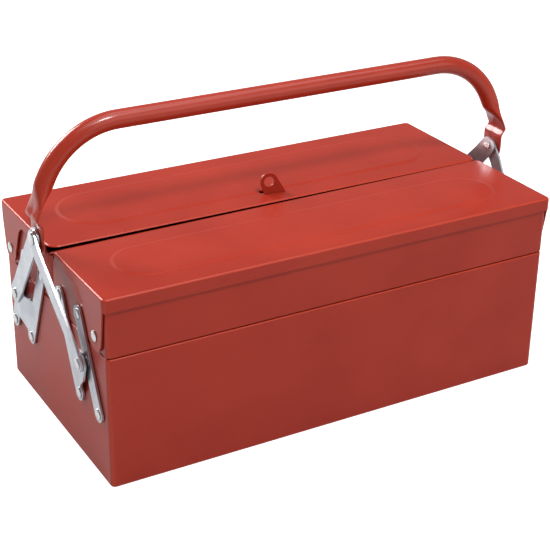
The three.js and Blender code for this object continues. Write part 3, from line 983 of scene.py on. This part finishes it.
# ---------------------------------------------------------------- handle
@dataclass
class Handle:
    """The bent tube, its ends pressed flat and riveted at the apexes."""

    tube: float = 15.0 * MM
    bend: float = 66.0 * MM
    slope: float = math.radians(25.0)
    kink_rise: float = 18.0 * MM
    strap_width: float = 23.5 * MM
    strap: float = 2.5 * MM
    flatten: float = 24.0 * MM
    flatten_run: float = 19.0 * MM
    strap_bend: float = 7.0 * MM
    kink_out: float = 4.0 * MM
    kink_past_base: float = 19.0 * MM
    sides: int = 32
    end_steps: int = 8
    kink_steps: int = 7
    bend_steps: int = 16
    leg_step: float = 3.0 * MM
    leg_margin: float = 1.0 * MM
    kink_margin: float = 2.0 * MM
    tip_width: float = 0.6 * MM
    edge_power: float = 0.35
    seam_depth: float = 0.35
    seam_width: float = 0.16
    low: Vector = field(init=False)
    high: Vector = field(init=False)
    apex: Vector = field(init=False)
    middle: float = field(init=False)
    grip: float = field(init=False)
    kink: float = field(init=False)

    def build(self, finishes: Finishes) -> None:
        """Make and dress the handle.

        Args:
            finishes: Where its paint comes from.
        """
        self.low, self.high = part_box("handle")
        self.apex = Vector(JOINTS["handle_fold"]["pos_m"])
        self.middle = (self.low.x + self.high.x) / 2
        self.grip = self.high.z - self.tube / 2
        self.kink = self.apex.z + self.kink_rise
        bm = bmesh.new()
        ring = bmesh.ops.create_circle(
            bm, cap_ends=True, radius=self.tube / 2, segments=self.sides,
        )["verts"]
        shape = [v.co.copy() for v in ring]
        stations = self.stations()
        self.set_ring(ring, shape, stations[0])
        edges = list({e for v in ring for e in v.link_edges})
        for station in stations[1:]:
            made = bmesh.ops.extrude_edge_only(bm, edges=edges)["geom"]
            ring = [g for g in made if isinstance(g, bmesh.types.BMVert)]
            edges = [
                g for g in made
                if isinstance(g, bmesh.types.BMEdge) and all(v in ring for v in g.verts)
            ]
            self.set_ring(ring, shape, station)
        bmesh.ops.contextual_create(bm, geom=edges)
        tube = place(bm, "handle_tube", "handle", Slot.PAINT, finishes)
        tube.data.materials[0] = finishes.handle

    def set_ring(
        self, ring: list[bmesh.types.BMVert], shape: list[Vector], station: Station,
    ) -> None:
        """Lay the tube's ring on a station of its line.

        Args:
            ring: Vertices of the ring, in order.
            shape: The round ring's points.
            station: Centre, tilt in the XZ plane, how far it is pressed, and width of the strap.
        """
        centre, tilt, press, width = station
        for vert, point in zip(ring, shape):
            angle = math.atan2(point.y, point.x)
            cosine, sine = math.cos(angle), math.sin(angle)
            flat_x = math.copysign(abs(cosine) ** self.edge_power, cosine) * self.strap / 2
            seam = 1.0 - self.seam_depth * math.exp(-((sine / self.seam_width) ** 2)) * press
            across = point.x * (1 - press) + flat_x * seam * press
            along_y = point.y * (1 - press) + sine * width / 2 * press
            vert.co = centre + Vector((across * math.cos(tilt), along_y, across * math.sin(tilt)))

    def stations(self) -> list[Station]:
        """Walk the handle's line from the left strap's end to the right one's.

        Returns:
            Centre, tilt, press and strap width of each ring.
        """
        half = self.half_stations()
        left = [
            (Vector((self.middle - x, 0.0, z)), math.pi - tilt, press, width)
            for x, z, tilt, press, width in half
        ]
        right = [
            (Vector((self.middle + x, 0.0, z)), tilt, press, width)
            for x, z, tilt, press, width in reversed(half)
        ]
        return left + right

    def half_stations(self) -> list[tuple[float, float, float, float, float]]:
        """The same for one half, from the strap's end up to the grip.

        Returns:
            X from the middle, Z, tilt of the ring, press and width.
        """
        return self.strap_rows() + self.kink_rows() + self.leg_rows() + self.bend_rows()

    def strap_rows(self) -> list[tuple[float, float, float, float, float]]:
        """The rounded end of the strap and its straight part."""
        radius = self.strap_width / 2
        strap_x = self.kink_x() - self.kink_out
        rows = []
        for i in range(self.end_steps + 1):
            angle = math.pi / 2 * i / self.end_steps
            z = self.apex.z - radius * math.cos(angle)
            width = max(2 * radius * math.sin(angle), self.tip_width)
            rows.append((strap_x, z, 0.0, 1.0, width))
        z = self.kink - self.strap_bend - self.kink_margin
        rows.append((strap_x, z, 0.0, 1.0, self.strap_width))
        return rows

    def kink_rows(self) -> list[tuple[float, float, float, float, float]]:
        """The kink between the strap and the leg."""
        strap_x = self.kink_x() - self.kink_out
        bend_low = self.kink - self.strap_bend
        run = self.strap_bend + 2 * self.kink_margin
        rows = []
        for i in range(1, self.kink_steps + 1):
            z = bend_low - self.kink_margin + run * i / self.kink_steps
            eased = self.eased((z - bend_low) / self.strap_bend)
            x = self.leg_x(z) if z > self.kink else strap_x + self.kink_out * eased
            rows.append((x, z, self.slope * eased * 0.5, self.press_at(z), self.strap_width))
        return rows

    def leg_rows(self) -> list[tuple[float, float, float, float, float]]:
        """The sloping leg, where the strap grows into the round tube."""
        bend_start = self.grip - self.bend * (1 - math.sin(self.slope))
        z = self.kink + 2 * self.kink_margin
        rows = []
        while z < bend_start - self.leg_margin:
            rows.append((self.leg_x(z), z, self.slope, self.press_at(z), self.strap_width))
            z += self.leg_step
        return rows

    def bend_rows(self) -> list[tuple[float, float, float, float, float]]:
        """The bend from the leg into the grip."""
        tangent = self.bend * math.tan((math.pi / 2 - self.slope) / 2)
        centre_x = self.leg_x(self.grip) - tangent
        centre_z = self.grip - self.bend
        rows = []
        for i in range(self.bend_steps + 1):
            angle = self.slope + (math.pi / 2 - self.slope) * i / self.bend_steps
            x = centre_x + self.bend * math.cos(angle)
            z = centre_z + self.bend * math.sin(angle)
            rows.append((x, z, angle, 0.0, self.strap_width))
        return rows

    def kink_x(self) -> float:
        """Half span at the kink, from the base's half length."""
        low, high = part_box("base_box")
        return (high.x - low.x) / 2 + self.kink_past_base

    def leg_x(self, z: float) -> float:
        """Half span of the sloping leg at a height."""
        return self.kink_x() - (z - self.kink) * math.tan(self.slope)

    def press_at(self, z: float) -> float:
        """How far the tube is pressed flat at a height, from 0 to 1."""
        return self.eased((self.kink + self.flatten - z) / self.flatten_run)

    @staticmethod
    def eased(share: float) -> float:
        """A share held between 0 and 1, with a soft start and end."""
        share = min(1.0, max(0.0, share))
        return share * share * (3 - 2 * share)


# ---------------------------------------------------------------- hasp
@dataclass
class HaspEye:
    """The padlock eye that stands up through the lid."""

    edge_radius: float = 0.45 * MM

    def build(self, finishes: Finishes) -> None:
        """Make and dress the eye.

        Args:
            finishes: Where its paint comes from.
        """
        eye = refined_copy("hasp_eye", self.edge_radius)
        place(eye, "hasp_eye_pressed", "hasp_eye", Slot.PAINT, finishes)


# ---------------------------------------------------------------- studio
@dataclass(frozen=True)
class Softbox:
    """A rectangular light that faces a point, with its width, height and power in watts."""

    name: str
    place: tuple[float, float, float]
    aim: tuple[float, float, float]
    size: tuple[float, float]
    power: float

    def hang(self) -> None:
        """Add the light to the scene."""
        data = bpy.data.lights.new(self.name, "AREA")
        data.shape = "RECTANGLE"
        data.size, data.size_y = self.size
        data.energy = self.power
        lamp = bpy.data.objects.new(self.name, data)
        bpy.context.scene.collection.objects.link(lamp)
        lamp.location = self.place
        lamp.rotation_mode = "QUATERNION"
        facing = Vector(self.aim) - Vector(self.place)
        lamp.rotation_quaternion = facing.to_track_quat("-Z", "Y")


@dataclass
class Studio:
    """Pale floor, soft lights and the camera."""

    camera_place: tuple[float, float, float] = (-0.53808, -0.91996, 0.60515)
    azimuth: float = -30.04
    elevation: float = 25.885
    roll: float = 0.90
    lens: float = 91.136
    sensor: float = 36.0
    floor_size: float = 30.0
    room_light: float = 0.30
    softboxes: tuple[Softbox, ...] = (
        Softbox("key_softbox", (-0.80, 1.55, 1.15), (-0.1, 0.0, 0.1), (0.8, 0.8), 42.0),
        Softbox("top_softbox", (0.3, -0.3, 2.1), (0.0, 0.0, 0.1), (2.2, 1.6), 22.0),
        Softbox("high_front_softbox", (0.15, -1.05, 1.95), (0.0, 0.0, 0.1), (0.32, 0.32), 22.0),
        Softbox("front_softbox", (0.8, -1.7, 0.9), (0.0, 0.0, 0.1), (1.6, 1.2), 8.0),
    )

    def build(self) -> None:
        """Set up everything round the object."""
        self.add_camera()
        self.add_floor()
        self.add_world()
        for softbox in self.softboxes:
            softbox.hang()
        log.info("studio set")

    def add_camera(self) -> None:
        """Stand the camera at the viewing angle."""
        data = bpy.data.cameras.new("camera")
        data.lens = self.lens
        data.sensor_width = self.sensor
        data.clip_start, data.clip_end = 0.05, 100.0
        camera = bpy.data.objects.new("camera", data)
        bpy.context.scene.collection.objects.link(camera)
        a, e = math.radians(self.azimuth), math.radians(self.elevation)
        back = Vector((math.sin(a) * math.cos(e), -math.cos(a) * math.cos(e), math.sin(e)))
        turn = (-back).to_track_quat("-Z", "Y") @ Quaternion((0, 0, 1), math.radians(self.roll))
        camera.rotation_mode = "QUATERNION"
        camera.rotation_quaternion = turn
        camera.location = self.camera_place
        bpy.context.scene.camera = camera

    def add_floor(self) -> None:
        """Lay the pale floor."""
        bm = bmesh.new()
        bmesh.ops.create_grid(bm, x_segments=1, y_segments=1, size=self.floor_size / 2)
        floor = object_of(bm, "studio_floor")
        material, shader = new_material("pale_floor")
        shader.inputs["Base Color"].default_value = (0.55, 0.55, 0.55, 1.0)
        shader.inputs["Roughness"].default_value = 0.9
        shader.inputs["Specular IOR Level"].default_value = 0.1
        shader.inputs["Emission Color"].default_value = (0.8, 0.8, 0.8, 1.0)
        rays = material.node_tree.nodes.new("ShaderNodeLightPath")
        seen = rays.outputs["Is Camera Ray"]
        material.node_tree.links.new(seen, shader.inputs["Emission Strength"])
        floor.data.materials.append(material)

    def add_world(self) -> None:
        """Fill the room with even light."""
        world = bpy.data.worlds.new("studio")
        world.use_nodes = True
        background = world.node_tree.nodes["Background"]
        background.inputs["Color"].default_value = (0.97, 0.985, 1.0, 1.0)
        background.inputs["Strength"].default_value = self.room_light
        bpy.context.scene.world = world
        bpy.context.scene.view_settings.view_transform = "Standard"


def main() -> None:
    """Build the toolbox's looks and the studio."""
    logging.basicConfig(level=logging.INFO, format="%(message)s")
    finishes = Finishes.make()
    Carcass().build(finishes)
    for row in Row:
        Lid(row).build(finishes)
    Linkage().build(finishes)
    Handle().build(finishes)
    HaspEye().build(finishes)
    Studio().build()


if __name__ == "__main__":
    main()
